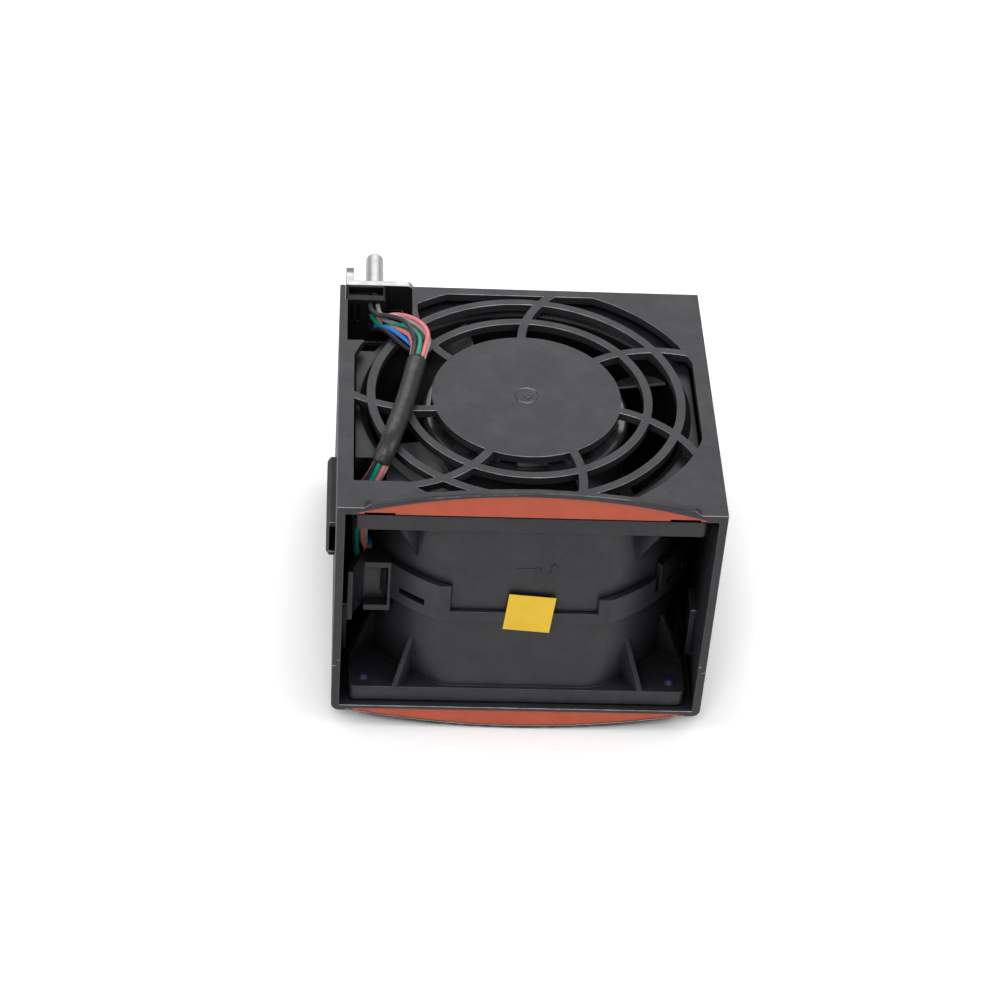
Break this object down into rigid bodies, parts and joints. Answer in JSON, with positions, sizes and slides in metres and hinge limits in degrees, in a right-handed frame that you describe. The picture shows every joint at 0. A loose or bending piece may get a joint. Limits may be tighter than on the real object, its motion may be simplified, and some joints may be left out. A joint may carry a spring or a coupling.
{
  "type": "server fan module",
  "caption": "Hot-swap server fan module: two counter-rotating rotors in a caged square housing with grilles, blind-mate plug and wire harness.",
  "frame": {"origin": "on the fan axis, in the outer face of the outlet grille plate", "axes": "+Z along the fan axis from outlet to inlet, -Y towards the open front with the touch pads, +Y the way the plug and its guide pin point, +X to the right seen from the front"},
  "size_m": [0.0676, 0.0748, 0.0555],
  "materials": {
    "cage_plastic": "fine moulded grain, satin",
    "housing_plastic": "fine moulded grain, semi-gloss",
    "rotor_plastic": "smooth moulded, glossy",
    "orange_plastic": "satin",
    "isolator_rubber": "matt blue",
    "bracket_steel": "black lacquer with bright edges",
    "pin_steel": "satin",
    "plug_plastic": "smooth",
    "contact_metal": "bright plating",
    "label_film": "satin",
    "wire_red": "satin",
    "wire_white": "satin",
    "wire_green": "satin",
    "wire_dark_grey": "satin",
    "wire_black": "satin",
    "wire_blue": "satin",
    "wire_grey": "satin",
    "sleeve_vinyl": "soft matt",
    "yoke_steel": "plain",
    "magnet_ferrite": "matt, bonded ferrite",
    "shaft_steel": "ground",
    "clip_steel": "plain",
    "bearing_steel": "polished",
    "tube_brass": "turned",
    "stack_steel": "laminated",
    "copper_wire": "enamelled copper",
    "board_laminate": "solder mask"
  },
  "bodies": {
    "cage": {"upper_cage": "cage_plastic", "lower_cage": "cage_plastic", "upper_grip_pad": "orange_plastic", "lower_grip_pad": "orange_plastic", "intake_housing": "housing_plastic", "exhaust_housing": "housing_plastic", "upper_isolators": "isolator_rubber", "lower_isolators": "isolator_rubber", "connector_bracket": "bracket_steel", "guide_pin": "pin_steel", "connector_housing": "plug_plastic", "connector_contacts": "contact_metal", "yellow_label": "label_film", "harness_sleeve": "sleeve_vinyl", "wire_red_a": "wire_red", "wire_red_b": "wire_red", "wire_white": "wire_white", "wire_green": "wire_green", "wire_dark_grey": "wire_dark_grey", "wire_black": "wire_black", "wire_blue": "wire_blue", "wire_grey": "wire_grey", "intake_bearing_tube": "tube_brass", "intake_bearings": "bearing_steel", "intake_spring_washer": "clip_steel", "intake_stator_stack": "stack_steel", "intake_windings": "copper_wire", "intake_circuit_board": "board_laminate", "exhaust_bearing_tube": "tube_brass", "exhaust_bearings": "bearing_steel", "exhaust_spring_washer": "clip_steel", "exhaust_stator_stack": "stack_steel", "exhaust_windings": "copper_wire", "exhaust_circuit_board": "board_laminate"},
    "intake_rotor": {"intake_impeller": "rotor_plastic", "intake_yoke": "yoke_steel", "intake_magnet": "magnet_ferrite", "intake_shaft": "shaft_steel", "intake_shaft_clip": "clip_steel"},
    "exhaust_rotor": {"exhaust_impeller": "rotor_plastic", "exhaust_yoke": "yoke_steel", "exhaust_magnet": "magnet_ferrite", "exhaust_shaft": "shaft_steel", "exhaust_shaft_clip": "clip_steel"}
  },
  "joints": [
    {"name": "intake_spin", "type": "hinge", "parent": "cage", "child": "intake_rotor", "pos_m": [0, 0, 0.036], "axis": [0, 0, -1], "continuous": true},
    {"name": "exhaust_spin", "type": "hinge", "parent": "cage", "child": "exhaust_rotor", "pos_m": [0, 0, 0.011], "axis": [0, 0, 1], "continuous": true}
  ]
}
